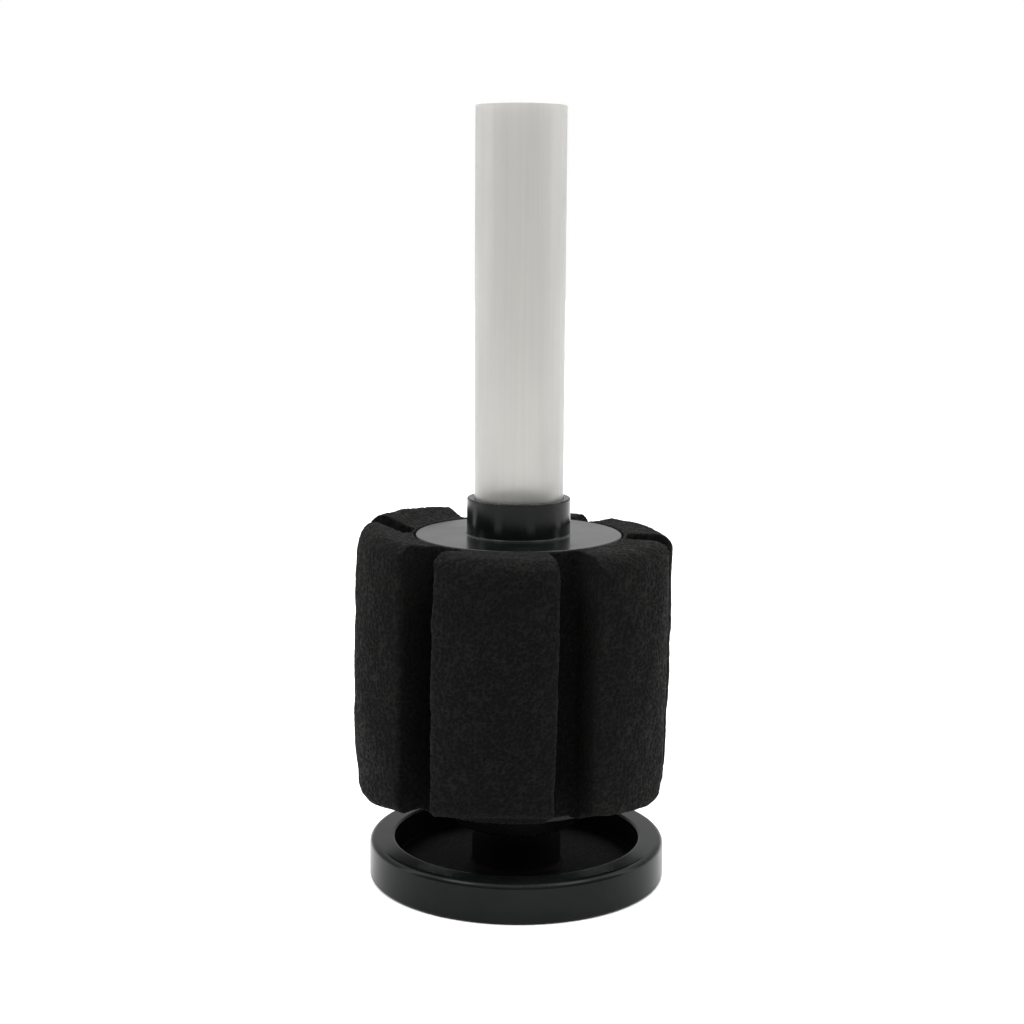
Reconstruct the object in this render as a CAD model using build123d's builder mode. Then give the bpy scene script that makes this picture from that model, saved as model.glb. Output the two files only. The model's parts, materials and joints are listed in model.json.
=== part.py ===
from build123d import *
from math import asin, cos, degrees, hypot, radians, sin
import os

# Air-driven sponge filter for an aquarium.
#
# A weighted round base carries a hub with a flat disc, a slotted core stands on the disc, and a fluted
# foam cylinder is threaded over the core. A cap with a second disc closes the foam at the top, and its
# collar holds the open lift tube. Air led to the nipple at the foot of the core rises through the tube
# and draws water in through the foam.
#
# Frame: millimetres, +Z up along the tube, origin at the centre of the base's underside, -Y is the front.

# ---------------------------------------------------------------- fits
push_clearance = 0.05        # radial, where one moulding pushes into another
soft_clearance = 0.35        # between the foam and what it stands on or is threaded over
ballast_clearance = 0.25     # round the ballast in its cavity

# ---------------------------------------------------------------- base
base_radius = 42.8
base_height = 11.6
base_edge_radius = 1.8       # rounding of the rim's outer top edge
base_foot_radius = 0.9
base_wall = 1.8
rim_width = 7.3              # from the recess to the outside
rim_roof = 2.4               # thickness over the ballast cavity
recess_edge_radius = 0.8
underplate_thickness = 1.4
socket_wall = 3.0            # wall of the post in the middle of the recess
socket_rise = 4.8            # post top above the rim
socket_root_radius = 1.5

# ---------------------------------------------------------------- hub and discs
spigot_radius = 10.0         # of the socket that the spigot pushes into
spigot_wall = 1.8
spigot_length = 10.0
hub_radius = 18.4            # at the hub's lower edge
hub_flare = 0.8              # how much wider the hub is where it meets the disc
hub_height = 7.6
hub_floor = 2.0
hub_edge_radius = 1.0
disc_radius = 29.5
disc_thickness = 3.0
disc_edge_radius = 0.5

# ---------------------------------------------------------------- core
core_radius = 14.4
core_wall = 1.6
core_length = 70.6
core_ring_height = 5.0       # ring on the lower disc that locates the core
ring_wall = 1.5
slot_columns = 8
slot_pitch = 6.4             # from one row of slots to the next
slot_rib = 3.9               # width left between two slots of a row
slot_height = 3.0
slot_margin = 9.0            # least solid band at each end of the core
slot_cut_overrun = 1.0       # how far a slot's cutter passes the wall on each side

# ---------------------------------------------------------------- air nipple
chamber_wall = 2.0           # shelf that the nipple's flange rests on
flange_thickness = 2.0
stem_radius = 2.1
stem_root_radius = 3.4
stem_root_height = 3.0
barb_radius = 2.6            # grips airline of 4 mm bore
barb_pitch = 3.6
barb_count = 3
stem_tip_height = 1.5
air_bore_radius = 1.2
air_hole_radius = 0.6
air_hole_count = 8

# ---------------------------------------------------------------- lift tube and cap
tube_radius = 12.7           # one-inch tube
tube_wall = 1.4
tube_length = 121.3
tube_edge_radius = 0.2
collar_wall = 2.0
collar_height = 10.5          # above the disc
collar_edge_radius = 0.5
collar_root_radius = 0.6
collar_mouth_radius = 0.3
skirt_length = 10.0          # below the disc, inside the core
skirt_wall = 1.6
stop_ledge = 0.2             # least that the tube's stop stands inside its bore
stop_thickness = 1.2         # web under the tube's end

# ---------------------------------------------------------------- foam
lobe_count = 6
foam_radius = 46.3           # middle of a lobe's face, where the foam is widest
lobe_corner_drop = 2.0       # corners of a lobe's face, below its middle
lobe_corner_rounding = 1.2
groove_mouth = 11.0          # width
groove_floor = 9.0           # width
groove_depth = 15.5
groove_floor_rounding = 2.0
first_groove = -67.5         # degrees from +X, anticlockwise seen from above
foam_rise = 3.2              # foam top above the underside of the cap's disc
belly_share = 0.53            # height of the widest place, as a share of the foam's height
foam_foot_drop = 2.4         # how much narrower than at its widest the foam is at its foot
foam_shoulder_drop = 1.6     # and at its top
foam_foot_rounding = 4.0
foam_shoulder_rounding = 6.0

# ---------------------------------------------------------------- heights along the axis
cavity_roof = base_height - rim_roof
recess_floor = underplate_thickness + base_wall
socket_top = base_height + socket_rise
spigot_bottom = socket_top - spigot_length
hub_top = socket_top + hub_height
core_bottom = hub_top + disc_thickness
core_top = core_bottom + core_length
cap_under = core_top
cap_top = cap_under + disc_thickness
collar_top = cap_top + collar_height
tube_bottom = cap_under + stop_thickness
tube_top = tube_bottom + tube_length
foam_bottom = core_bottom + soft_clearance
foam_top = cap_under + foam_rise

# ---------------------------------------------------------------- radii that follow from the fits
recess_radius = base_radius - rim_width
cavity_inner = recess_radius + base_wall
cavity_outer = base_radius - base_wall
socket_radius = spigot_radius + socket_wall
core_bore = core_radius - core_wall
ring_inner = core_bore - ring_wall
chamber_radius = ring_inner - chamber_wall
air_hole_circle = (chamber_radius + stem_root_radius) / 2
slot_width = core_radius * radians(360 / slot_columns) - slot_rib
collar_bore = tube_radius + push_clearance
collar_radius = collar_bore + collar_wall
skirt_radius = core_bore - push_clearance
cap_bore = min(tube_radius - tube_wall - stop_ledge, skirt_radius - skirt_wall)
foam_bore = core_radius + soft_clearance
lobe_corner_radius = foam_radius - lobe_corner_drop
groove_floor_radius = foam_radius - groove_depth
foam_foot_radius = foam_radius - foam_foot_drop
foam_shoulder_radius = foam_radius - foam_shoulder_drop


near = 1e-4                  # how close counts as the same place


def circles_at(solid, radius, height):
    """Circular edges of a turned solid that have the given radius and lie at the given height."""
    rings = solid.edges().filter_by(GeomType.CIRCLE)
    return rings.filter_by(lambda edge: abs(edge.radius - radius) < near and abs(edge.center().Z - height) < near)


def corners_at(sketch, radius):
    """Corners of a sketch that lie at the given distance from its origin."""
    return sketch.vertices().filter_by(lambda corner: abs(hypot(corner.X, corner.Y) - radius) < near)


def polar(radius, angle):
    """Point in the sketch plane, at an angle in degrees from +X."""
    return (radius * cos(radians(angle)), radius * sin(radians(angle)))


os.makedirs("parts", exist_ok=True)

# ---------------------------------------------------------------- base shell
# Dish with a hollow rim, open underneath for the ballast, and a blind socket post in its middle.
with BuildPart() as base_shell:
    with BuildSketch(Plane.XZ):
        with BuildLine():
            Polyline(
                (0, underplate_thickness),
                (cavity_inner, underplate_thickness),
                (cavity_inner, cavity_roof),
                (cavity_outer, cavity_roof),
                (cavity_outer, 0),
                (base_radius, 0),
                (base_radius, base_height),
                (recess_radius, base_height),
                (recess_radius, recess_floor),
                (socket_radius, recess_floor),
                (socket_radius, socket_top),
                (spigot_radius, socket_top),
                (spigot_radius, recess_floor),
                (0, recess_floor),
                close=True,
            )
        make_face()
    revolve(axis=Axis.Z)
    fillet(circles_at(base_shell, base_radius, base_height), radius=base_edge_radius)
    fillet(circles_at(base_shell, base_radius, 0), radius=base_foot_radius)
    fillet(circles_at(base_shell, recess_radius, base_height), radius=recess_edge_radius)
    fillet(circles_at(base_shell, recess_radius, recess_floor), radius=recess_edge_radius)
    fillet(circles_at(base_shell, socket_radius, recess_floor), radius=socket_root_radius)
    fillet(circles_at(base_shell, socket_radius, socket_top), radius=recess_edge_radius)
base_shell.part.label = "base_shell"
export_step(base_shell.part, "parts/base_shell.step")

# ---------------------------------------------------------------- ballast ring, sealed in the rim
with BuildPart() as ballast_ring:
    with BuildSketch(Plane.XY.offset(underplate_thickness)):
        Circle(cavity_outer - ballast_clearance)
        Circle(cavity_inner + ballast_clearance, mode=Mode.SUBTRACT)
    extrude(amount=cavity_roof - underplate_thickness - ballast_clearance)
ballast_ring.part.label = "ballast_ring"
export_step(ballast_ring.part, "parts/ballast_ring.step")

# ---------------------------------------------------------------- plate that closes the base
with BuildPart() as base_underplate:
    with BuildSketch(Plane.XY):
        Circle(cavity_outer)
    extrude(amount=underplate_thickness)
base_underplate.part.label = "base_underplate"
export_step(base_underplate.part, "parts/base_underplate.step")

# ---------------------------------------------------------------- lower disc with hub and spigot
# The spigot is hollow from below, the hub from above, where its hollow is the air chamber.
with BuildPart() as bottom_disc:
    with BuildSketch(Plane.XZ):
        with BuildLine():
            Polyline(
                (0, socket_top),
                (spigot_radius - push_clearance - spigot_wall, socket_top),
                (spigot_radius - push_clearance - spigot_wall, spigot_bottom),
                (spigot_radius - push_clearance, spigot_bottom),
                (spigot_radius - push_clearance, socket_top),
                (hub_radius, socket_top),
                (hub_radius + hub_flare, hub_top),
                (disc_radius, hub_top),
                (disc_radius, core_bottom),
                (core_bore, core_bottom),
                (core_bore, core_bottom + core_ring_height),
                (ring_inner, core_bottom + core_ring_height),
                (ring_inner, core_bottom),
                (chamber_radius, core_bottom),
                (chamber_radius, socket_top + hub_floor),
                (0, socket_top + hub_floor),
                close=True,
            )
        make_face()
    revolve(axis=Axis.Z)
    fillet(circles_at(bottom_disc, hub_radius, socket_top), radius=hub_edge_radius)
    fillet(circles_at(bottom_disc, disc_radius, hub_top), radius=disc_edge_radius)
    fillet(circles_at(bottom_disc, disc_radius, core_bottom), radius=disc_edge_radius)
bottom_disc.part.label = "bottom_disc"
export_step(bottom_disc.part, "parts/bottom_disc.step")

# ---------------------------------------------------------------- slotted core
slot_rows = int((core_length - 2 * slot_margin) / slot_pitch) + 1
first_row = (core_length - (slot_rows - 1) * slot_pitch) / 2
with BuildPart() as strainer_core:
    with BuildSketch(Plane.XY.offset(core_bottom)):
        Circle(core_radius)
        Circle(core_bore, mode=Mode.SUBTRACT)
    extrude(amount=core_length)
    for row in range(slot_rows):
        with Locations((0, 0, core_bottom + first_row + row * slot_pitch)):
            with PolarLocations(core_radius, slot_columns):
                Box(2 * (core_wall + slot_cut_overrun), slot_width, slot_height, mode=Mode.SUBTRACT)
strainer_core.part.label = "strainer_core"
export_step(strainer_core.part, "parts/strainer_core.step")

# ---------------------------------------------------------------- air nipple
# Its flange lies in the locating ring and closes the chamber. Air comes down the stem and leaves by the
# ring of small holes.
stem_foot = core_bottom + flange_thickness + stem_root_height
with BuildPart() as air_nipple:
    with BuildSketch(Plane.XZ):
        with BuildLine():
            outline = [
                (air_bore_radius, core_bottom),
                (ring_inner, core_bottom),
                (ring_inner, core_bottom + flange_thickness),
                (stem_root_radius, core_bottom + flange_thickness),
                (stem_root_radius, stem_foot),
                (stem_radius, stem_foot),
            ]
            for barb in range(barb_count):
                shoulder = stem_foot + stem_tip_height + barb * barb_pitch
                outline.append((stem_radius, shoulder))
                outline.append((barb_radius, shoulder))
                outline.append((stem_radius, shoulder + barb_pitch - stem_tip_height))
            stem_top = stem_foot + stem_tip_height + barb_count * barb_pitch
            outline.append((stem_radius, stem_top))
            outline.append((air_bore_radius, stem_top))
            Polyline(*outline, close=True)
        make_face()
    revolve(axis=Axis.Z)
    with BuildSketch(Plane.XY.offset(core_bottom)):
        with PolarLocations(air_hole_circle, air_hole_count):
            Circle(air_hole_radius)
    extrude(amount=flange_thickness, mode=Mode.SUBTRACT)
air_nipple.part.label = "air_nipple"
export_step(air_nipple.part, "parts/air_nipple.step")

# ---------------------------------------------------------------- cap: disc, collar and skirt
with BuildPart() as top_cap:
    with BuildSketch(Plane.XZ):
        with BuildLine():
            Polyline(
                (cap_bore, cap_under - skirt_length),
                (skirt_radius, cap_under - skirt_length),
                (skirt_radius, cap_under),
                (disc_radius, cap_under),
                (disc_radius, cap_top),
                (collar_radius, cap_top),
                (collar_radius, collar_top),
                (collar_bore, collar_top),
                (collar_bore, tube_bottom),
                (cap_bore, tube_bottom),
                close=True,
            )
        make_face()
    revolve(axis=Axis.Z)
    fillet(circles_at(top_cap, collar_radius, collar_top), radius=collar_edge_radius)
    fillet(circles_at(top_cap, collar_bore, collar_top), radius=collar_mouth_radius)
    fillet(circles_at(top_cap, collar_radius, cap_top), radius=collar_root_radius)
    fillet(circles_at(top_cap, disc_radius, cap_top), radius=disc_edge_radius)
    fillet(circles_at(top_cap, disc_radius, cap_under), radius=disc_edge_radius)
top_cap.part.label = "top_cap"
export_step(top_cap.part, "parts/top_cap.step")

# ---------------------------------------------------------------- lift tube
with BuildPart() as lift_tube:
    with BuildSketch(Plane.XY.offset(tube_bottom)):
        Circle(tube_radius)
        Circle(tube_radius - tube_wall, mode=Mode.SUBTRACT)
    extrude(amount=tube_length)
    fillet(circles_at(lift_tube, tube_radius, tube_top), radius=tube_edge_radius)
    fillet(circles_at(lift_tube, tube_radius, tube_bottom), radius=tube_edge_radius)
lift_tube.part.label = "lift_tube"
export_step(lift_tube.part, "parts/lift_tube.step")

# ---------------------------------------------------------------- foam
# The fluted section is drawn once and extruded, then trimmed by a barrel that is widest above its middle.
mouth_half_angle = degrees(asin(groove_mouth / 2 / lobe_corner_radius))
floor_half_angle = degrees(asin(groove_floor / 2 / groove_floor_radius))
lobe_pitch = 360 / lobe_count
foam_height = foam_top - foam_bottom
with BuildPart() as foam_sponge:
    with BuildSketch(Plane.XY.offset(foam_bottom)) as fluted_section:
        with BuildLine():
            for lobe in range(lobe_count):
                here = first_groove + lobe * lobe_pitch
                following = here + lobe_pitch
                Line(
                    polar(groove_floor_radius, here + floor_half_angle),
                    polar(lobe_corner_radius, here + mouth_half_angle),
                )
                ThreePointArc(
                    polar(lobe_corner_radius, here + mouth_half_angle),
                    polar(foam_radius, here + lobe_pitch / 2),
                    polar(lobe_corner_radius, following - mouth_half_angle),
                )
                Line(
                    polar(lobe_corner_radius, following - mouth_half_angle),
                    polar(groove_floor_radius, following - floor_half_angle),
                )
                ThreePointArc(
                    polar(groove_floor_radius, following - floor_half_angle),
                    polar(groove_floor_radius, following),
                    polar(groove_floor_radius, following + floor_half_angle),
                )
        make_face()
        fillet(corners_at(fluted_section, groove_floor_radius), radius=groove_floor_rounding)
        fillet(corners_at(fluted_section, lobe_corner_radius), radius=lobe_corner_rounding)
    extrude(amount=foam_height)
    with BuildSketch(Plane.XZ) as barrel:
        with BuildLine():
            Polyline((foam_shoulder_radius, foam_top), (0, foam_top), (0, foam_bottom), (foam_foot_radius, foam_bottom))
            ThreePointArc(
                (foam_foot_radius, foam_bottom),
                (foam_radius, foam_bottom + belly_share * foam_height),
                (foam_shoulder_radius, foam_top),
            )
        make_face()
        fillet(corners_at(barrel, hypot(foam_foot_radius, foam_bottom)), radius=foam_foot_rounding)
        fillet(corners_at(barrel, hypot(foam_shoulder_radius, foam_top)), radius=foam_shoulder_rounding)
    revolve(axis=Axis.Z, mode=Mode.INTERSECT)
    with BuildSketch(Plane.XY.offset(foam_bottom)):
        Circle(foam_bore)
    extrude(amount=foam_height, mode=Mode.SUBTRACT)
    with BuildSketch(Plane.XY.offset(cap_under - soft_clearance)):
        Circle(disc_radius + soft_clearance)
    extrude(amount=foam_height, mode=Mode.SUBTRACT)
foam_sponge.part.label = "foam_sponge"
export_step(foam_sponge.part, "parts/foam_sponge.step")
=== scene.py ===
"""Looks of a free-standing, air-driven sponge filter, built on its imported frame.

Everything is in metres, in the frame's own axes: +Z up along the lift tube, -Y to the front.
"""

import json
import logging
import math
from collections.abc import Sequence
from dataclasses import dataclass
from enum import Enum

import bmesh
import bpy
import numpy as np
from mathutils import Matrix, Vector

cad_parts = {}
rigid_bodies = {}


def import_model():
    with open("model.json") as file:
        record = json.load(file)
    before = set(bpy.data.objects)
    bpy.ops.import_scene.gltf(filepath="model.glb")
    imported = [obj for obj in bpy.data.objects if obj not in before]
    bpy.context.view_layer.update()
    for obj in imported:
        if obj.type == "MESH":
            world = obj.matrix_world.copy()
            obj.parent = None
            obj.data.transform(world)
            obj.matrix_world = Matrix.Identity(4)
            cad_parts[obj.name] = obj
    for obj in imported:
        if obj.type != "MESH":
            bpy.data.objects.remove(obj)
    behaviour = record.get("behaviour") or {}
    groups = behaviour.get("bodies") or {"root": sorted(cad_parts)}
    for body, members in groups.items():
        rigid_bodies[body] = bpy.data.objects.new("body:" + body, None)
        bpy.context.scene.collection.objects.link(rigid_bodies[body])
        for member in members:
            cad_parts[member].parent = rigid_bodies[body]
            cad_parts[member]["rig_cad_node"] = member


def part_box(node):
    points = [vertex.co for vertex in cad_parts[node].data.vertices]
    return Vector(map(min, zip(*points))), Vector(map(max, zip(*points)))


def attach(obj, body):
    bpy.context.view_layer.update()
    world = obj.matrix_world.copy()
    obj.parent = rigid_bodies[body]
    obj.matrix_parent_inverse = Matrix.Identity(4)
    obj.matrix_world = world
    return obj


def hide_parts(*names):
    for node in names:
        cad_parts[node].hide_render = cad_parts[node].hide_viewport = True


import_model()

log = logging.getLogger("sponge_filter")

Colour = tuple[float, float, float]
Point = tuple[float, float]

MM = 0.001
TURN_STEPS = 192
TURN_WELD = 1e-7
FRAME_WELD = 1e-6
RING_REACH = 2e-6
SHARP_DEGREES = 40


class Body(Enum):
    """Moving bodies of the filter, by their names in the record."""

    BASE = "base"
    CORE = "core"
    SPONGE = "sponge"
    CAP = "cap"
    TUBE = "tube"


class Slot(Enum):
    """Material slots of the record."""

    GLOSS_BLACK = "black_gloss_plastic"
    UNDERPLATE = "underplate_plastic"
    CORE_BLACK = "core_plastic"
    STEEL = "ballast_steel"
    FOAM = "black_foam"
    FROSTED = "frosted_tube"


# ---------------------------------------------------------------- node trees


def smooth_ramp(
    tree: bpy.types.NodeTree,
    value: bpy.types.NodeSocket,
    low: float,
    high: float,
    to_low: float = 0.0,
    to_high: float = 1.0,
) -> bpy.types.NodeSocket:
    """Maps a value smoothly from one span to another.

    Args:
        tree: the node tree.
        value: what is mapped.
        low: where the span starts.
        high: where it ends.
        to_low: result at and before the start.
        to_high: result at and after the end.

    Returns:
        The mapped value.
    """
    node = tree.nodes.new("ShaderNodeMapRange")
    node.interpolation_type = "SMOOTHSTEP"
    ends = (("From Min", low), ("From Max", high), ("To Min", to_low), ("To Max", to_high))
    for socket, number in ends:
        node.inputs[socket].default_value = number
    tree.links.new(value, node.inputs["Value"])
    return node.outputs["Result"]


class FinishSheet:
    """A material's node tree, with short ways to add patterns to it."""

    def __init__(self, name: str) -> None:
        """Starts a material with one principled shader.

        Args:
            name: the material's name.
        """
        self.material = bpy.data.materials.new(name)
        self.material.use_nodes = True
        self.tree = self.material.node_tree
        self.shader = self.tree.nodes["Principled BSDF"]
        self.place = self.tree.nodes.new("ShaderNodeTexCoord").outputs["Object"]

    def join(self, source: bpy.types.NodeSocket, target: bpy.types.NodeSocket) -> None:
        """Links one socket to another."""
        self.tree.links.new(source, target)

    def set_value(self, socket: str, value: float | Sequence[float]) -> None:
        """Sets a value directly on the shader's own socket."""
        self.shader.inputs[socket].default_value = value

    def stretched(self, scale: tuple[float, float, float]) -> bpy.types.NodeSocket:
        """Place on the piece, stretched by a mapping.

        Args:
            scale: factors along the piece's three axes.

        Returns:
            The mapped place.
        """
        mapping = self.tree.nodes.new("ShaderNodeMapping")
        mapping.inputs["Scale"].default_value = scale
        self.join(self.place, mapping.inputs["Vector"])
        return mapping.outputs["Vector"]

    def noise(
        self, grain: float, detail: float = 3.0, along: tuple[float, float, float] = (1.0, 1.0, 1.0)
    ) -> bpy.types.NodeSocket:
        """Fractal noise.

        Args:
            grain: size of its coarsest features, in metres.
            detail: octaves.
            along: stretch along the three axes.

        Returns:
            The noise, from 0 to 1.
        """
        node = self.tree.nodes.new("ShaderNodeTexNoise")
        node.inputs["Scale"].default_value = 1 / grain
        node.inputs["Detail"].default_value = detail
        self.join(self.stretched(along), node.inputs["Vector"])
        return node.outputs["Fac"]

    def cells(self, size: float) -> bpy.types.NodeSocket:
        """Cellular pattern.

        Args:
            size: width of a cell, in metres.

        Returns:
            Distance from the cell's border, in cell widths.
        """
        node = self.tree.nodes.new("ShaderNodeTexVoronoi")
        node.feature = "DISTANCE_TO_EDGE"
        node.inputs["Scale"].default_value = 1 / size
        self.join(self.place, node.inputs["Vector"])
        return node.outputs["Distance"]

    def attribute(self, name: str) -> bpy.types.NodeSocket:
        """Value of a named attribute of the piece's mesh."""
        node = self.tree.nodes.new("ShaderNodeAttribute")
        node.attribute_name = name
        return node.outputs["Fac"]

    def span(
        self,
        value: bpy.types.NodeSocket,
        low: float,
        high: float,
        to_low: float = 0.0,
        to_high: float = 1.0,
    ) -> bpy.types.NodeSocket:
        """Maps a value smoothly from one span to another, as smooth_ramp does."""
        return smooth_ramp(self.tree, value, low, high, to_low, to_high)

    def sum_of(
        self, first: bpy.types.NodeSocket, second: bpy.types.NodeSocket, operation: str = "ADD"
    ) -> bpy.types.NodeSocket:
        """Sum, product or other simple combination of two values.

        Args:
            first: left value.
            second: right value.
            operation: the math node's operation.

        Returns:
            The result, kept from 0 to 1.
        """
        node = self.tree.nodes.new("ShaderNodeMath")
        node.operation = operation
        node.use_clamp = True
        self.join(first, node.inputs[0])
        self.join(second, node.inputs[1])
        return node.outputs["Value"]

    def ring_band(self, radius: float, height: float, width: float) -> bpy.types.NodeSocket:
        """Soft band along a ring about the axis, such as an edge that hands rub, or a thin painted
        highlight along an edge.

        Args:
            radius: the ring's radius, in metres.
            height: its height, in metres.
            width: how far the band reaches, in metres.

        Returns:
            1 on the ring, 0 away from it.
        """
        split = self.tree.nodes.new("ShaderNodeSeparateXYZ")
        self.join(self.place, split.inputs["Vector"])
        flat = self.tree.nodes.new("ShaderNodeCombineXYZ")
        self.join(split.outputs["X"], flat.inputs["X"])
        self.join(split.outputs["Y"], flat.inputs["Y"])
        span = self.tree.nodes.new("ShaderNodeVectorMath")
        span.operation = "LENGTH"
        self.join(flat.outputs["Vector"], span.inputs[0])
        section = self.tree.nodes.new("ShaderNodeCombineXYZ")
        self.join(span.outputs["Value"], section.inputs["X"])
        self.join(split.outputs["Z"], section.inputs["Y"])
        away = self.tree.nodes.new("ShaderNodeVectorMath")
        away.operation = "DISTANCE"
        away.inputs[1].default_value = (radius, height, 0.0)
        self.join(section.outputs["Vector"], away.inputs[0])
        return self.span(away.outputs["Value"], 0.0, width, 1.0, 0.0)

    def tint(
        self, value: bpy.types.NodeSocket, low: Colour, high: Colour | bpy.types.NodeSocket
    ) -> bpy.types.NodeSocket:
        """Colour that runs from one to another.

        Args:
            value: 0 for the first, 1 for the second.
            low: first colour.
            high: second colour, or the socket that it comes from.

        Returns:
            The colour.
        """
        node = self.tree.nodes.new("ShaderNodeMix")
        node.data_type = "RGBA"
        ends = [socket for socket in node.inputs if socket.type == "RGBA"]
        ends[0].default_value = (*low, 1.0)
        if isinstance(high, bpy.types.NodeSocket):
            self.join(high, ends[1])
        else:
            ends[1].default_value = (*high, 1.0)
        self.join(value, node.inputs["Factor"])
        return next(socket for socket in node.outputs if socket.type == "RGBA")

    def raise_by(
        self,
        height: bpy.types.NodeSocket,
        distance: float,
        strength: float = 1.0,
        over: bpy.types.NodeSocket | None = None,
    ) -> bpy.types.NodeSocket:
        """Relief on the surface.

        Args:
            height: the relief's pattern, from 0 to 1.
            distance: its full height, in metres.
            strength: share of it that shows.
            over: relief that it stands on.

        Returns:
            The normal.
        """
        node = self.tree.nodes.new("ShaderNodeBump")
        node.inputs["Strength"].default_value = strength
        node.inputs["Distance"].default_value = distance
        self.join(height, node.inputs["Height"])
        if over is not None:
            self.join(over, node.inputs["Normal"])
        return node.outputs["Normal"]

    def relief(self, normal: bpy.types.NodeSocket) -> None:
        """Gives the shader its relief."""
        self.join(normal, self.shader.inputs["Normal"])


# ---------------------------------------------------------------- finishes


@dataclass(frozen=True)
class GlossBlack:
    """Injection-moulded black plastic, polished in the mould and a little handled; its lighter edge
    band is rubbed wear on the cap and base, and a painted highlight on the hub's lower edge.
    """

    name: str
    # The edge band lightens the colour: rubbed wear on the cap and base, a painted highlight on the
    # hub's lower edge.
    wear_and_highlight_radius: float
    wear_and_highlight_height: float
    wear_and_highlight_width: float = 2.2 * MM
    deep: Colour = (0.0030, 0.0036, 0.0035)
    pale: Colour = (0.0062, 0.0072, 0.0070)
    polished: float = 0.18
    handled: float = 0.30
    specular: float = 0.14
    cloud: float = 14 * MM
    haze: float = 0.7 * MM
    haze_height: float = 0.006 * MM
    wave: float = 9 * MM
    wave_height: float = 0.05 * MM

    def material(self) -> bpy.types.Material:
        """Builds the material: cloudy gloss, fine haze, sink waves and a lighter edge band (rubbed
        wear on the cap and base, painted highlight on the hub).
        """
        sheet = FinishSheet(self.name)
        cloud = sheet.noise(self.cloud, 4.0)
        haze = sheet.noise(self.haze, 5.0)
        wear_and_highlight_band = sheet.ring_band(self.wear_and_highlight_radius, self.wear_and_highlight_height, self.wear_and_highlight_width)
        worn_and_highlight = sheet.sum_of(wear_and_highlight_band, sheet.span(haze, 0.42, 0.68), "MULTIPLY")
        shade = sheet.sum_of(sheet.span(cloud, 0.35, 0.7, 0.0, 0.6), worn_and_highlight)
        # The edge band lifts the colour towards pale: rubbed wear, and on the hub a painted
        # highlight.
        sheet.join(sheet.tint(shade, self.deep, self.pale), sheet.shader.inputs["Base Color"])
        dull = sheet.sum_of(
            sheet.span(cloud, 0.3, 0.7, 0.0, 0.45), sheet.span(worn_and_highlight, 0.0, 1.0, 0.0, 0.8)
        )
        rough = sheet.span(dull, 0.0, 1.0, self.polished, self.handled)
        sheet.join(rough, sheet.shader.inputs["Roughness"])
        sheet.set_value("Specular IOR Level", self.specular)
        wave = sheet.raise_by(sheet.noise(self.wave, 1.0), self.wave_height, 0.5)
        sheet.relief(sheet.raise_by(haze, self.haze_height, 0.5, wave))
        return sheet.material


@dataclass(frozen=True)
class SatinBlack:
    """Matt or satin moulded black, with the mould's eroded grain."""

    name: str
    deep: Colour = (0.010, 0.0105, 0.011)
    pale: Colour = (0.022, 0.0225, 0.023)
    grain: float = 0.45 * MM
    smooth: float = 0.42
    coarse: float = 0.62
    specular: float = 0.4
    grain_height: float = 0.03 * MM
    cloud: float = 11 * MM

    def material(self) -> bpy.types.Material:
        """Builds the material: eroded grain in colour, roughness and relief."""
        sheet = FinishSheet(self.name)
        grain = sheet.noise(self.grain, 6.0)
        cloud = sheet.noise(self.cloud, 3.0)
        shade = sheet.sum_of(
            sheet.span(grain, 0.3, 0.7, 0.0, 0.6), sheet.span(cloud, 0.35, 0.7, 0.0, 0.4)
        )
        sheet.join(sheet.tint(shade, self.deep, self.pale), sheet.shader.inputs["Base Color"])
        rough = sheet.span(grain, 0.3, 0.7, self.smooth, self.coarse)
        sheet.join(rough, sheet.shader.inputs["Roughness"])
        sheet.set_value("Specular IOR Level", self.specular)
        sheet.relief(sheet.raise_by(grain, self.grain_height, 0.6))
        return sheet.material


@dataclass(frozen=True)
class CutSteel:
    """Plain cut steel of the ballast, with mill lines and a few rust freckles."""

    name: str = "cut_steel"
    bright: Colour = (0.42, 0.42, 0.43)
    dim: Colour = (0.27, 0.27, 0.28)
    rust: Colour = (0.16, 0.07, 0.035)
    line: float = 0.6 * MM
    line_height: float = 0.02 * MM
    patch: float = 8 * MM
    freckle: float = 2.5 * MM

    def material(self) -> bpy.types.Material:
        """Builds the material: mill lines, dull patches and freckles."""
        sheet = FinishSheet(self.name)
        lines = sheet.noise(self.line, 3.0, (0.06, 1.0, 1.0))
        patches = sheet.noise(self.patch, 4.0)
        freckles = sheet.span(sheet.noise(self.freckle, 6.0), 0.64, 0.7)
        steel = sheet.tint(sheet.sum_of(lines, patches, "MULTIPLY"), self.dim, self.bright)
        mix = sheet.tree.nodes.new("ShaderNodeMix")
        mix.data_type = "RGBA"
        ends = [socket for socket in mix.inputs if socket.type == "RGBA"]
        sheet.join(freckles, mix.inputs["Factor"])
        sheet.join(steel, ends[0])
        ends[1].default_value = (*self.rust, 1.0)
        colour = next(socket for socket in mix.outputs if socket.type == "RGBA")
        sheet.join(colour, sheet.shader.inputs["Base Color"])
        sheet.join(sheet.span(freckles, 0.0, 1.0, 0.95, 0.1), sheet.shader.inputs["Metallic"])
        sheet.join(sheet.span(lines, 0.3, 0.7, 0.28, 0.5), sheet.shader.inputs["Roughness"])
        sheet.relief(sheet.raise_by(lines, self.line_height, 0.5))
        return sheet.material


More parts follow.
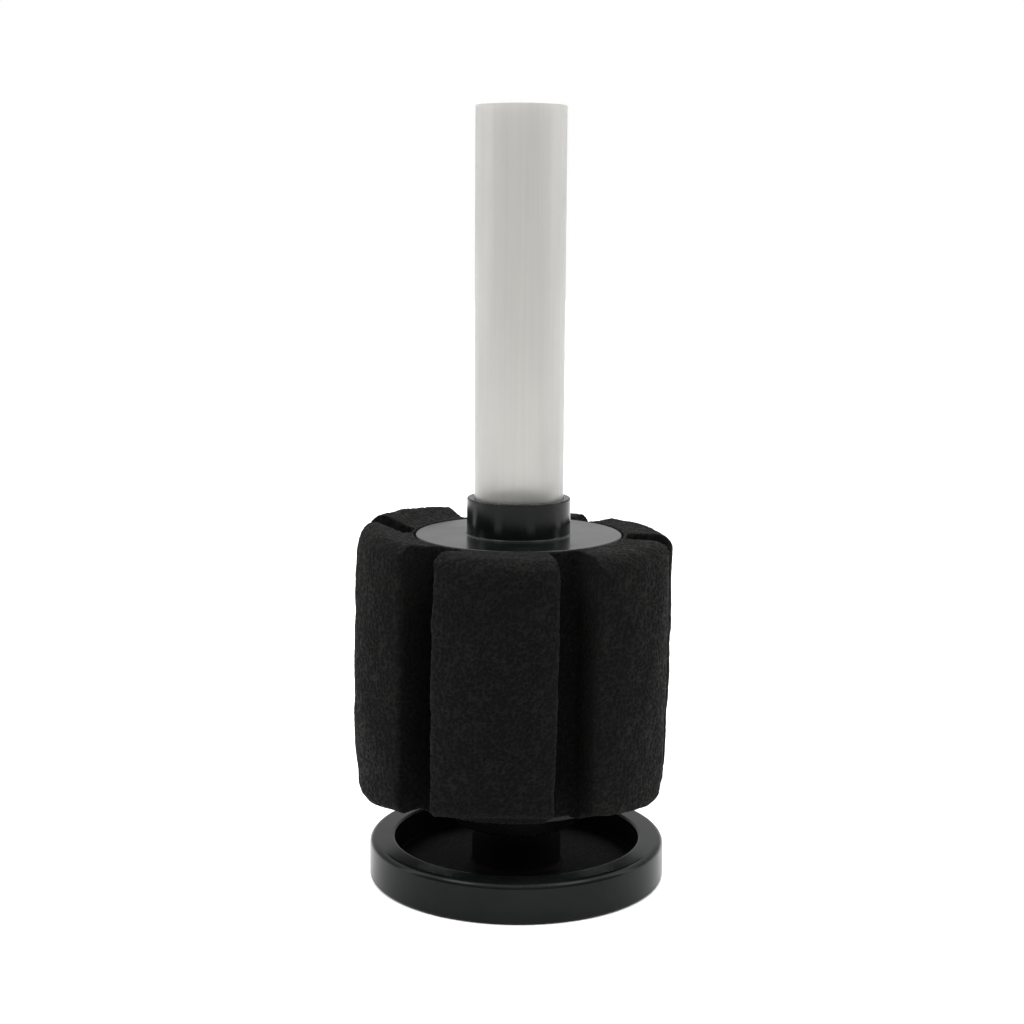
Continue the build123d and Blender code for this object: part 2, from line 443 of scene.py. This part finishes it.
@dataclass(frozen=True)
class FrostedTube:
    """Milky translucent tube: light comes through, scattered, with faint drawn lines along it."""

    name: str = "frosted_tube"
    clear: Colour = (0.715, 0.71, 0.69)
    milky: Colour = (0.63, 0.625, 0.605)
    smooth: float = 0.28
    coarse: float = 0.40
    through: float = 0.86
    refraction: float = 1.45
    line: float = 0.9 * MM
    line_height: float = 0.015 * MM
    cloud: float = 16 * MM
    haze: float = 0.35 * MM
    haze_height: float = 0.004 * MM

    def material(self) -> bpy.types.Material:
        """Builds the material: milky clouds, drawn lines and a soft surface haze."""
        sheet = FinishSheet(self.name)
        lines = sheet.noise(self.line, 3.0, (1.0, 1.0, 0.015))
        clouds = sheet.noise(self.cloud, 3.0, (1.0, 1.0, 0.35))
        haze = sheet.noise(self.haze, 4.0)
        shade = sheet.sum_of(
            sheet.span(lines, 0.3, 0.7, 0.0, 0.5), sheet.span(clouds, 0.3, 0.7, 0.0, 0.5)
        )
        sheet.join(sheet.tint(shade, self.clear, self.milky), sheet.shader.inputs["Base Color"])
        rough = sheet.span(shade, 0.0, 1.0, self.smooth, self.coarse)
        sheet.join(rough, sheet.shader.inputs["Roughness"])
        sheet.set_value("Transmission Weight", self.through)
        sheet.set_value("IOR", self.refraction)
        drawn = sheet.raise_by(lines, self.line_height, 0.4)
        sheet.relief(sheet.raise_by(haze, self.haze_height, 0.4, drawn))
        return sheet.material


@dataclass(frozen=True)
class OpenCellFoam:
    """Coarse black filter foam: webs of struts round open pores, whose hollows are darkened by
    painted shade.
    """

    name: str = "open_cell_foam"
    pore: float = 1.15 * MM
    fine_pore: float = 0.55 * MM
    depth_attribute: str = "pore_depth"
    strut: Colour = (0.0037, 0.0039, 0.0038)
    # hollow: colour of the pore hollows and pits, painted shade darker than the struts.
    hollow: Colour = (0.0022, 0.0023, 0.0024)
    faded: Colour = (0.0055, 0.0057, 0.0049)
    lint: float = 0.015
    lint_tint: Colour = (0.55, 0.56, 0.47)
    lint_roughness: float = 0.55
    specular: float = 0.07
    patch: float = 12 * MM
    pore_height: float = 0.075 * MM
    fine_pore_height: float = 0.045 * MM

    def material(self) -> bpy.types.Material:
        """Builds the material: pores in two sizes, painted shade in the pore hollows and pits,
        paler strut crowns and faded patches.
        """
        sheet = FinishSheet(self.name)
        webs = sheet.span(sheet.cells(self.pore), 0.03, 0.26, 1.0, 0.0)
        fine = sheet.span(sheet.cells(self.fine_pore), 0.04, 0.30, 1.0, 0.0)
        crowns = sheet.span(sheet.attribute(self.depth_attribute), 0.1, 0.8, 1.0, 0.0)
        strands = sheet.sum_of(
            sheet.span(webs, 0.0, 1.0, 0.0, 0.65), sheet.span(fine, 0.0, 1.0, 0.0, 0.35)
        )
        strut_vs_pore_shade = sheet.sum_of(strands, sheet.span(crowns, 0.0, 1.0, 0.35, 1.0), "MULTIPLY")
        patches = sheet.span(sheet.noise(self.patch, 4.0), 0.45, 0.72)
        strut = sheet.tint(patches, self.strut, self.faded)
        # The pore hollows and pits take the darker hollow colour: painted shade.
        sheet.join(sheet.tint(strut_vs_pore_shade, self.hollow, strut), sheet.shader.inputs["Base Color"])
        sheet.join(sheet.span(strut_vs_pore_shade, 0.0, 1.0, 0.98, 0.72), sheet.shader.inputs["Roughness"])
        sheet.set_value("Specular IOR Level", self.specular)
        sheet.set_value("Sheen Weight", self.lint)
        sheet.set_value("Sheen Roughness", self.lint_roughness)
        sheet.set_value("Sheen Tint", (*self.lint_tint, 1.0))
        coarse = sheet.raise_by(webs, self.pore_height, 0.5)
        sheet.relief(sheet.raise_by(fine, self.fine_pore_height, 0.5, coarse))
        return sheet.material


@dataclass(frozen=True)
class PaleFloor:
    """Plain pale studio floor."""

    name: str = "pale_floor"
    light: Colour = (0.93, 0.93, 0.93)
    dark: Colour = (0.90, 0.90, 0.90)
    cloud: float = 0.2

    def material(self) -> bpy.types.Material:
        """Builds the material: almost even, matt, with a little cloud."""
        sheet = FinishSheet(self.name)
        shade = sheet.tint(sheet.noise(self.cloud, 3.0), self.dark, self.light)
        sheet.join(shade, sheet.shader.inputs["Base Color"])
        sheet.set_value("Roughness", 0.9)
        sheet.set_value("Specular IOR Level", 0.1)
        return sheet.material


# ---------------------------------------------------------------- building


@dataclass(frozen=True)
class RingRounding:
    """Rounding of one circular edge of a turned piece."""

    radius: float
    height: float
    size: float
    steps: int = 5


class Turning:
    """A piece turned about the filter's axis from one outline."""

    def __init__(self, outline: Sequence[Point], closed: bool = True) -> None:
        """Spins the outline through a full turn.

        Args:
            outline: points (radius, height) round the section, in metres.
            closed: whether the last point joins the first. An outline that starts and ends on the
                axis stays open.
        """
        self.mesh = bmesh.new()
        corners = [self.mesh.verts.new((radius, 0.0, height)) for radius, height in outline]
        pairs = list(zip(corners, corners[1:]))
        if closed:
            pairs.append((corners[-1], corners[0]))
        edges = [self.mesh.edges.new(pair) for pair in pairs]
        bmesh.ops.spin(
            self.mesh,
            geom=corners + edges,
            cent=(0.0, 0.0, 0.0),
            axis=(0.0, 0.0, 1.0),
            dvec=(0.0, 0.0, 0.0),
            angle=math.tau,
            steps=TURN_STEPS,
            use_merge=True,
            use_duplicate=False,
        )
        bmesh.ops.remove_doubles(self.mesh, verts=self.mesh.verts, dist=TURN_WELD)
        bmesh.ops.recalc_face_normals(self.mesh, faces=self.mesh.faces)

    def round_ring(self, ring: RingRounding) -> None:
        """Rounds one circular edge.

        Args:
            ring: which edge, and by how much.
        """
        found = [
            edge
            for edge in self.mesh.edges
            if all(
                abs(math.hypot(vert.co.x, vert.co.y) - ring.radius) < RING_REACH
                and abs(vert.co.z - ring.height) < RING_REACH
                for vert in edge.verts
            )
        ]
        if len(found) != TURN_STEPS:
            raise ValueError(f"no ring at radius {ring.radius:.5f}, height {ring.height:.5f}")
        bmesh.ops.bevel(
            self.mesh,
            geom=found,
            offset=ring.size,
            offset_type="OFFSET",
            segments=ring.steps,
            profile=0.5,
            affect="EDGES",
            clamp_overlap=True,
            material=-1,
        )

    def piece(self, name: str) -> bpy.types.Object:
        """Turns the mesh into a smooth piece.

        Args:
            name: the piece's name.

        Returns:
            The piece, at the origin.
        """
        bmesh.ops.recalc_face_normals(self.mesh, faces=self.mesh.faces)
        for face in self.mesh.faces:
            face.smooth = True
        made = add_piece(name, self.mesh)
        made.data.set_sharp_from_angle(angle=math.radians(SHARP_DEGREES))
        evened = made.modifiers.new("even_shading", "WEIGHTED_NORMAL")
        evened.keep_sharp = True
        return made


def add_piece(name: str, shape: bmesh.types.BMesh) -> bpy.types.Object:
    """Puts a finished bmesh into the scene.

    Args:
        name: the piece's name.
        shape: its mesh, which is freed.

    Returns:
        The new object, at the origin.
    """
    mesh = bpy.data.meshes.new(name)
    shape.to_mesh(mesh)
    shape.free()
    made = bpy.data.objects.new(name, mesh)
    bpy.context.scene.collection.objects.link(made)
    return made


def dress(piece: bpy.types.Object, material: bpy.types.Material) -> None:
    """Gives a piece, or a node of the frame, its only material."""
    if piece.material_slots:
        for place in piece.material_slots:
            place.material = material
    else:
        piece.data.materials.append(material)


def install(
    piece: bpy.types.Object, body: Body, slot: Slot, material: bpy.types.Material, *nodes: str
) -> None:
    """Dresses a new piece and makes it stand for nodes of the frame.

    Args:
        piece: the new piece.
        body: what it moves with.
        slot: the record's slot that its finish comes from; not used.
        material: its finish.
        nodes: the nodes that it stands for.
    """
    dress(piece, material)
    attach(piece, body.value)
    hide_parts(*nodes)
    log.info("%s: %d faces, rides on %s", piece.name, len(piece.data.polygons), body.value)


def frame_node(node: str) -> bpy.types.Object:
    """Finds the object that holds one of the frame's nodes."""
    return next(thing for thing in bpy.context.scene.objects if thing.get("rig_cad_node") == node)


def dress_node(node: str, material: bpy.types.Material) -> None:
    """Gives a node of the frame that stays in sight its finish."""
    dress(frame_node(node), material)
    log.info("%s: kept from the frame, dressed as %s", node, material.name)


# ---------------------------------------------------------------- sub-assemblies


@dataclass
class LiftTube:
    """Open frosted tube that stands in the collar."""

    wall: float = 1.4 * MM
    outer_rounding: float = 0.2 * MM
    inner_rounding: float = 0.15 * MM

    def build(self) -> None:
        """Turns the tube and dresses it."""
        low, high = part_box("lift_tube")
        outer = high.x
        inner = outer - self.wall
        turning = Turning([(inner, low.z), (outer, low.z), (outer, high.z), (inner, high.z)])
        for height in (low.z, high.z):
            turning.round_ring(RingRounding(outer, height, self.outer_rounding, 3))
            turning.round_ring(RingRounding(inner, height, self.inner_rounding, 3))
        tube = turning.piece("lift_tube_frosted")
        install(tube, Body.TUBE, Slot.FROSTED, FrostedTube().material(), "lift_tube")


@dataclass
class CollaredCap:
    """Upper disc with the collar that holds the tube, and the skirt in the core."""

    disc_thickness: float = 3.0 * MM
    collar_wall: float = 2.0 * MM
    collar_rounding: float = 0.5 * MM
    collar_mouth: float = 0.3 * MM
    collar_root: float = 0.6 * MM
    disc_rounding: float = 0.5 * MM
    push_clearance: float = 0.05 * MM
    skirt_length: float = 10.0 * MM
    skirt_wall: float = 1.6 * MM
    core_wall: float = 1.6 * MM
    stop_ledge: float = 0.2 * MM
    tube_wall: float = 1.4 * MM

    def build(self) -> None:
        """Turns the cap and dresses it."""
        low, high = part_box("top_cap")
        tube_low, tube_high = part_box("lift_tube")
        core_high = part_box("strainer_core")[1]
        disc = high.x
        under = low.z + self.skirt_length
        top = under + self.disc_thickness
        mouth = tube_high.x + self.push_clearance
        collar = mouth + self.collar_wall
        skirt = core_high.x - self.core_wall - self.push_clearance
        bore = min(tube_high.x - self.tube_wall - self.stop_ledge, skirt - self.skirt_wall)
        turning = Turning(
            [
                (bore, low.z),
                (skirt, low.z),
                (skirt, under),
                (disc, under),
                (disc, top),
                (collar, top),
                (collar, high.z),
                (mouth, high.z),
                (mouth, tube_low.z),
                (bore, tube_low.z),
            ]
        )
        turning.round_ring(RingRounding(collar, high.z, self.collar_rounding, 8))
        turning.round_ring(RingRounding(mouth, high.z, self.collar_mouth, 3))
        turning.round_ring(RingRounding(collar, top, self.collar_root, 5))
        turning.round_ring(RingRounding(disc, top, self.disc_rounding, 5))
        turning.round_ring(RingRounding(disc, under, self.disc_rounding, 4))
        finish = GlossBlack("gloss_black_cap", collar, high.z)
        cap = turning.piece("collared_cap")
        install(cap, Body.CAP, Slot.GLOSS_BLACK, finish.material(), "top_cap")


@dataclass
class HubDisc:
    """Lower disc that carries the foam, its hub, spigot and the ring that centres the core."""

    disc_thickness: float = 3.0 * MM
    hub_radius: float = 18.4 * MM
    hub_flare: float = 0.8 * MM
    hub_height: float = 7.6 * MM
    hub_floor: float = 2.0 * MM
    spigot_radius: float = 9.95 * MM
    spigot_wall: float = 1.8 * MM
    core_wall: float = 1.6 * MM
    ring_wall: float = 1.5 * MM
    chamber_wall: float = 2.0 * MM
    hub_rounding: float = 1.0 * MM
    edge_rounding: float = 0.5 * MM

    def build(self) -> None:
        """Turns the disc and dresses it."""
        low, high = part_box("bottom_disc")
        core_low, core_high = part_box("strainer_core")
        disc = high.x
        top = core_low.z
        under = top - self.disc_thickness
        hub_foot = under - self.hub_height
        core_bore = core_high.x - self.core_wall
        ring = core_bore - self.ring_wall
        chamber = ring - self.chamber_wall
        hollow = self.spigot_radius - self.spigot_wall
        turning = Turning(
            [
                (0.0, hub_foot),
                (hollow, hub_foot),
                (hollow, low.z),
                (self.spigot_radius, low.z),
                (self.spigot_radius, hub_foot),
                (self.hub_radius, hub_foot),
                (self.hub_radius + self.hub_flare, under),
                (disc, under),
                (disc, top),
                (core_bore, top),
                (core_bore, high.z),
                (ring, high.z),
                (ring, top),
                (chamber, top),
                (chamber, hub_foot + self.hub_floor),
                (0.0, hub_foot + self.hub_floor),
            ],
            closed=False,
        )
        turning.round_ring(RingRounding(self.hub_radius, hub_foot, self.hub_rounding, 6))
        turning.round_ring(RingRounding(disc, under, self.edge_rounding, 4))
        turning.round_ring(RingRounding(disc, top, self.edge_rounding, 5))
        # The 1 mm band on the hub's lower edge is a painted highlight: a thin lighter arc in place
        # of the light caught by the rounding.
        finish = GlossBlack(
            "gloss_black_hub",
            wear_and_highlight_radius=self.hub_radius,
            wear_and_highlight_height=hub_foot,
            wear_and_highlight_width=1.0 * MM,
        )
        hub = turning.piece("hub_disc")
        install(hub, Body.CORE, Slot.GLOSS_BLACK, finish.material(), "bottom_disc")


@dataclass
class WeightedBase:
    """Round dish with a hollow, weighted rim and the socket that takes the spigot."""

    height: float = 11.6 * MM
    edge_rounding: float = 1.8 * MM
    foot_rounding: float = 0.9 * MM
    wall: float = 1.8 * MM
    rim_width: float = 7.3 * MM
    rim_roof: float = 2.4 * MM
    recess_rounding: float = 0.8 * MM
    underplate: float = 1.4 * MM
    spigot_radius: float = 10.0 * MM
    socket_wall: float = 3.0 * MM
    socket_root: float = 1.5 * MM

    def build(self) -> None:
        """Turns the base, dresses it, and dresses the ballast and the plate under it."""
        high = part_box("base_shell")[1]
        outside = high.x
        recess = outside - self.rim_width
        cavity_inner = recess + self.wall
        cavity_outer = outside - self.wall
        roof = self.height - self.rim_roof
        floor = self.underplate + self.wall
        socket = self.spigot_radius + self.socket_wall
        turning = Turning(
            [
                (0.0, self.underplate),
                (cavity_inner, self.underplate),
                (cavity_inner, roof),
                (cavity_outer, roof),
                (cavity_outer, 0.0),
                (outside, 0.0),
                (outside, self.height),
                (recess, self.height),
                (recess, floor),
                (socket, floor),
                (socket, high.z),
                (self.spigot_radius, high.z),
                (self.spigot_radius, floor),
                (0.0, floor),
            ],
            closed=False,
        )
        turning.round_ring(RingRounding(outside, self.height, self.edge_rounding, 8))
        turning.round_ring(RingRounding(outside, 0.0, self.foot_rounding, 5))
        turning.round_ring(RingRounding(recess, self.height, self.recess_rounding, 5))
        turning.round_ring(RingRounding(recess, floor, self.recess_rounding, 5))
        turning.round_ring(RingRounding(socket, floor, self.socket_root, 6))
        turning.round_ring(RingRounding(socket, high.z, self.recess_rounding, 5))
        finish = GlossBlack(
            "gloss_black_base",
            wear_and_highlight_radius=outside,
            wear_and_highlight_height=self.height,
            wear_and_highlight_width=1.8 * MM,
            specular=0.11,
        )
        base = turning.piece("weighted_base")
        install(base, Body.BASE, Slot.GLOSS_BLACK, finish.material(), "base_shell")
        self.dull_and_shade_recess(base, recess, socket)
        dress_node("ballast_ring", CutSteel().material())
        plate = SatinBlack("satin_black_underplate", grain=0.7 * MM)
        dress_node("base_underplate", plate.material())

    def dull_and_shade_recess(self, base: bpy.types.Object, recess: float, socket: float) -> None:
        """Gives the recess and the socket's post a duller finish than the rim, with a darker colour
        that is painted shade.

        Args:
            base: the base.
            recess: radius of the recess.
            socket: radius of the socket's post.
        """
        # The lining's darker colour is painted shade in the recess and on the post; its dullness is
        # roughness.
        dull_shaded_lining = SatinBlack(
            "dull_black_painted_shade_recess",
            deep=(0.0022, 0.0022, 0.0024),
            pale=(0.0040, 0.0040, 0.0042),
            grain=0.6 * MM,
            smooth=0.6,
            coarse=0.8,
            specular=0.06,
        )
        base.data.materials.append(dull_shaded_lining.material())
        slack = 0.01 * MM
        lowest = self.underplate + 0.5 * self.wall
        highest = self.height - self.recess_rounding
        for face in base.data.polygons:
            height = face.center.z
            radius = math.hypot(face.center.x, face.center.y)
            in_recess = radius < recess + slack and lowest < height < highest
            on_post = radius < socket + slack and height > self.height
            if in_recess or on_post:
                face.material_index = 1


@dataclass
class InnerCore:
    """Slotted core and air nipple inside the foam, which keep the frame's own shape."""

    def build(self) -> None:
        """Dresses the two nodes."""
        satin = SatinBlack("satin_black_core").material()
        for node in ("strainer_core", "air_nipple"):
            dress_node(node, satin)


def eased(share: np.ndarray) -> np.ndarray:
    """Clips values to between 0 and 1 and eases both ends."""
    kept = np.clip(share, 0.0, 1.0)
    return kept * kept * (3 - 2 * kept)


@dataclass
class FoamCartridge:
    """Fluted foam cylinder: an even net over its solid, pushed a little askew and pitted."""

    net: float = 0.52 * MM
    pore: float = 1.4 * MM
    pore_depth: float = 0.28 * MM
    web: float = 0.34
    lump: float = 7.0 * MM
    lump_height: float = 0.22 * MM
    lean_foot: float = -1.7 * MM
    lean_head: float = -0.5 * MM
    swell: float = 0.4 * MM
    lift: float = 3.6 * MM
    lift_side: float = 165.0
    lift_spread: float = 1.2
    foot_lift: float = 2.2 * MM
    foot_sag: float = 3.2 * MM
    skirt_sag: float = 2.3 * MM
    skirt_inner: float = 29.9 * MM
    skirt_outer: float = 33.0 * MM
    skirt_fade: float = 3.5 * MM
    steady_radius: float = 31.5 * MM
    loose_radius: float = 42.0 * MM
    bare_inner: float = 28.0 * MM
    bare_outer: float = 31.0 * MM
    hidden_share: float = 0.4
    lump_waves: int = 9
    head_from: float = 0.35
    foot_to: float = 0.3
    skirt_to: float = 0.1
    skirt_edge: float = 1.0 * MM
    seed: int = 11

    def scatter(self, cell: np.ndarray, turn: int) -> np.ndarray:
        """Repeatable random numbers for whole-numbered cells.

        Args:
            cell: cell numbers, one row of three for each point.
            turn: which of the cell's numbers is wanted.

        Returns:
            Numbers from 0 to 1, one for each row.
        """
        mixed = np.full(len(cell), self.seed * 7919 + turn * 104729, np.uint64)
        for axis, prime in enumerate((73856093, 19349663, 83492791)):
            mixed ^= (cell[:, axis] + 4096).astype(np.uint64) * np.uint64(prime)
            mixed = (mixed ^ (mixed >> np.uint64(13))) * np.uint64(0x9E3779B97F4A7C15)
        return ((mixed >> np.uint64(40)).astype(float)) / float(1 << 24)

    def pores(self, points: np.ndarray) -> np.ndarray:
        """Depth of the pores over a cloud of points.

        Args:
            points: places on the foam, in metres.

        Returns:
            0 on the webs between pores, 1 in the middle of a pore.
        """
        scaled = points / self.pore
        home = np.floor(scaled).astype(np.int64)
        nearest = np.full(len(points), 9.0)
        second = np.full(len(points), 9.0)
        for step in np.ndindex(3, 3, 3):
            cell = home + np.array(step) - 1
            seat = cell + np.stack([self.scatter(cell, turn) for turn in range(3)], axis=1)
            away = np.linalg.norm(scaled - seat, axis=1)
            second = np.minimum(second, np.maximum(nearest, away))
            nearest = np.minimum(nearest, away)
        return eased((second - nearest) / self.web)

    def lumps(self, points: np.ndarray) -> np.ndarray:
        """Slow unevenness over a cloud of points.

        Args:
            points: places on the foam, in metres.

        Returns:
            Values from about -1 to 1.
        """
        source = np.random.default_rng(self.seed)
        total = np.zeros(len(points))
        for wave in range(self.lump_waves):
            direction = source.normal(size=3)
            direction /= np.linalg.norm(direction)
            pitch = self.lump * source.uniform(0.7, 2.2)
            total += np.sin(points @ direction * math.tau / pitch + source.uniform(0, math.tau))
        return total / (self.lump_waves / 2)

    def slump(
        self, points: np.ndarray, radius: np.ndarray, rise: np.ndarray, loose: np.ndarray
    ) -> np.ndarray:
        """How far the soft foam has crept up or down, away from the discs that hold it.

        Args:
            points: places on the foam, in metres.
            radius: their distance from the axis.
            rise: their height, as a share of the foam's.
            loose: 0 where the discs hold the foam, 1 where it is free.

        Returns:
            The rise of each point, in metres.
        """
        bearing = np.arctan2(points[:, 1], points[:, 0])
        front = np.clip(-np.sin(bearing), 0.0, 1.0) ** 2
        off_side = np.abs((bearing - math.radians(self.lift_side) + math.pi) % math.tau - math.pi)
        head = self.lift * np.cos(np.minimum(off_side / self.lift_spread, math.pi / 2)) ** 2
        foot = self.foot_lift * front - self.foot_sag * np.cos(bearing) ** 2
        near_head = np.clip((rise - self.head_from) / (1.0 - self.head_from), 0.0, 1.0)
        near_foot = np.clip(1.0 - rise / self.foot_to, 0.0, 1.0)
        within = np.clip((radius - self.skirt_inner) / self.skirt_edge, 0.0, 1.0)
        beyond = np.clip((radius - self.skirt_outer) / self.skirt_fade, 0.0, 1.0)
        near_edge = np.clip(1.0 - rise / self.skirt_to, 0.0, 1.0)
        skirt = self.skirt_sag * within * (1.0 - beyond) * near_edge
        return loose * (head * near_head + foot * near_foot) - skirt

    def even_net(self) -> bpy.types.Mesh:
        """Covers the foam's solid with an even net of small faces.

        Returns:
            The net, as a mesh.
        """
        shape = bmesh.new()
        shape.from_mesh(frame_node("foam_sponge").data)
        bmesh.ops.remove_doubles(shape, verts=shape.verts, dist=FRAME_WELD)
        rough = add_piece("foam_solid", shape)
        remesh = rough.modifiers.new("even_net", "REMESH")
        remesh.mode = "VOXEL"
        remesh.voxel_size = self.net
        remesh.use_smooth_shade = True
        graph = bpy.context.evaluated_depsgraph_get()
        mesh = bpy.data.meshes.new_from_object(rough.evaluated_get(graph))
        bpy.data.objects.remove(rough, do_unlink=True)
        return mesh

    def build(self) -> None:
        """Nets, leans and pits the foam, and dresses it."""
        low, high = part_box("foam_sponge")
        mesh = self.even_net()
        mesh.name = "foam_cartridge"
        count = len(mesh.vertices)
        points = np.empty(count * 3)
        mesh.vertices.foreach_get("co", points)
        points = points.reshape(-1, 3)
        normals = np.empty(count * 3, np.float32)
        mesh.vertex_normals.foreach_get("vector", normals)
        normals = normals.reshape(-1, 3).astype(float)
        radius = np.hypot(points[:, 0], points[:, 1])
        loose = eased((radius - self.steady_radius) / (self.loose_radius - self.steady_radius))
        rise = np.clip((points[:, 2] - low.z) / (high.z - low.z), 0.0, 1.0)
        depth = self.pores(points)
        bare = (radius - self.bare_inner) / (self.bare_outer - self.bare_inner)
        outside = np.clip(bare, 0.0, 1.0)
        bulge = self.lump_height * self.lumps(points) + self.swell * np.sin(math.pi * rise)
        pitted = self.pore_depth * (self.hidden_share + (1.0 - self.hidden_share) * outside)
        points = points + normals * (loose * bulge - depth * pitted)[:, None]
        points[:, 2] += self.slump(points, radius, rise, loose)
        points[:, 0] += loose * (self.lean_foot + (self.lean_head - self.lean_foot) * rise)
        mesh.vertices.foreach_set("co", points.ravel())
        attribute = mesh.attributes.new(OpenCellFoam.depth_attribute, "FLOAT", "POINT")
        attribute.data.foreach_set("value", depth.astype(np.float32))
        mesh.update()
        foam = bpy.data.objects.new("foam_cartridge", mesh)
        bpy.context.scene.collection.objects.link(foam)
        install(foam, Body.SPONGE, Slot.FOAM, OpenCellFoam().material(), "foam_sponge")


# ---------------------------------------------------------------- studio


@dataclass(frozen=True)
class SoftBox:
    """One square studio light."""

    name: str
    place: tuple[float, float, float]
    aim: tuple[float, float, float]
    width: float
    height: float
    watts: float


@dataclass
class Studio:
    """Pale floor, soft lights and the camera."""

    floor_reach: float = 4.0
    lens: float = 63.28
    sensor: float = 36.0
    camera_place: tuple[float, float, float] = (-0.0019, -0.5069, 0.1878)
    camera_pitch: float = 0.1586
    camera_roll: float = 0.0066
    sky_depth: tuple[float, float, float, float] = (-0.6, 0.35, 0.2, 0.8)
    sky_height: tuple[float, float, float, float] = (0.35, 0.85, 0.0, 1.7)
    boxes: tuple[SoftBox, ...] = (
        SoftBox("overhead", (0.0, 0.25, 0.95), (0.0, 0.0, 0.05), 1.1, 1.1, 5.0),
        SoftBox("front_left", (-0.50, -0.30, 0.80), (0.0, 0.0, 0.03), 0.3, 0.3, 2.3),
        SoftBox("front_right", (0.50, -0.30, 0.80), (0.0, 0.0, 0.03), 0.3, 0.3, 1.9),
        SoftBox("left_box", (-0.8, 0.0, 0.38), (0.0, 0.0, 0.08), 0.20, 0.7, 1.2),
        SoftBox("right_box", (0.8, 0.05, 0.38), (0.0, 0.0, 0.08), 0.20, 0.7, 1.2),
    )

    def add_floor(self) -> None:
        """Lays the floor under the base."""
        shape = bmesh.new()
        bmesh.ops.create_grid(shape, x_segments=8, y_segments=8, size=self.floor_reach)
        floor = add_piece("studio_floor", shape)
        dress(floor, PaleFloor().material())

    def add_sky(self) -> None:
        """Surrounds the set with white, dimmer in front, where the room is dark."""
        world = bpy.data.worlds.new("white_room")
        world.use_nodes = True
        tree = world.node_tree
        ground = tree.nodes["Background"]
        place = tree.nodes.new("ShaderNodeTexCoord")
        split = tree.nodes.new("ShaderNodeSeparateXYZ")
        tree.links.new(place.outputs["Generated"], split.inputs["Vector"])
        depth = smooth_ramp(tree, split.outputs["Y"], *self.sky_depth)
        height = smooth_ramp(tree, split.outputs["Z"], *self.sky_height)
        around = tree.nodes.new("ShaderNodeMath")
        around.operation = "ADD"
        tree.links.new(depth, around.inputs[0])
        tree.links.new(height, around.inputs[1])
        sight = tree.nodes.new("ShaderNodeLightPath")
        either = tree.nodes.new("ShaderNodeMath")
        either.operation = "MAXIMUM"
        tree.links.new(sight.outputs["Is Camera Ray"], either.inputs[0])
        tree.links.new(around.outputs["Value"], either.inputs[1])
        tree.links.new(either.outputs["Value"], ground.inputs["Strength"])
        ground.inputs["Color"].default_value = (1.0, 1.0, 1.0, 1.0)
        bpy.context.scene.world = world

    def add_lights(self) -> None:
        """Hangs the soft boxes."""
        for box in self.boxes:
            light = bpy.data.lights.new(box.name, "AREA")
            light.shape = "RECTANGLE"
            light.size = box.width
            light.size_y = box.height
            light.energy = box.watts
            lamp = bpy.data.objects.new(box.name, light)
            lamp.location = box.place
            sight = Vector(box.aim) - Vector(box.place)
            lamp.rotation_euler = sight.to_track_quat("-Z", "Y").to_euler()
            bpy.context.scene.collection.objects.link(lamp)

    def add_camera(self) -> None:
        """Sets up the camera, level with the tube and looking slightly down."""
        data = bpy.data.cameras.new("front_camera")
        data.lens = self.lens
        data.sensor_width = self.sensor
        data.clip_start = 0.01
        camera = bpy.data.objects.new("front_camera", data)
        camera.location = self.camera_place
        tilt = Matrix.Rotation(math.pi / 2 - self.camera_pitch, 3, "X")
        roll = Matrix.Rotation(self.camera_roll, 3, "Z")
        camera.rotation_euler = (tilt @ roll).to_euler()
        bpy.context.scene.collection.objects.link(camera)
        bpy.context.scene.camera = camera

    def build(self) -> None:
        """Builds the whole set."""
        self.add_floor()
        self.add_sky()
        self.add_lights()
        self.add_camera()
        bpy.context.scene.view_settings.view_transform = "Standard"


def main() -> None:
    """Builds the filter, piece by piece, and the studio round it."""
    logging.basicConfig(level=logging.INFO, format="%(name)s: %(message)s")
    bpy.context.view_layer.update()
    assemblies = (
        WeightedBase(),
        HubDisc(),
        InnerCore(),
        FoamCartridge(),
        CollaredCap(),
        LiftTube(),
    )
    for assembly in assemblies:
        assembly.build()
    Studio().build()


if __name__ == "__main__":
    main()
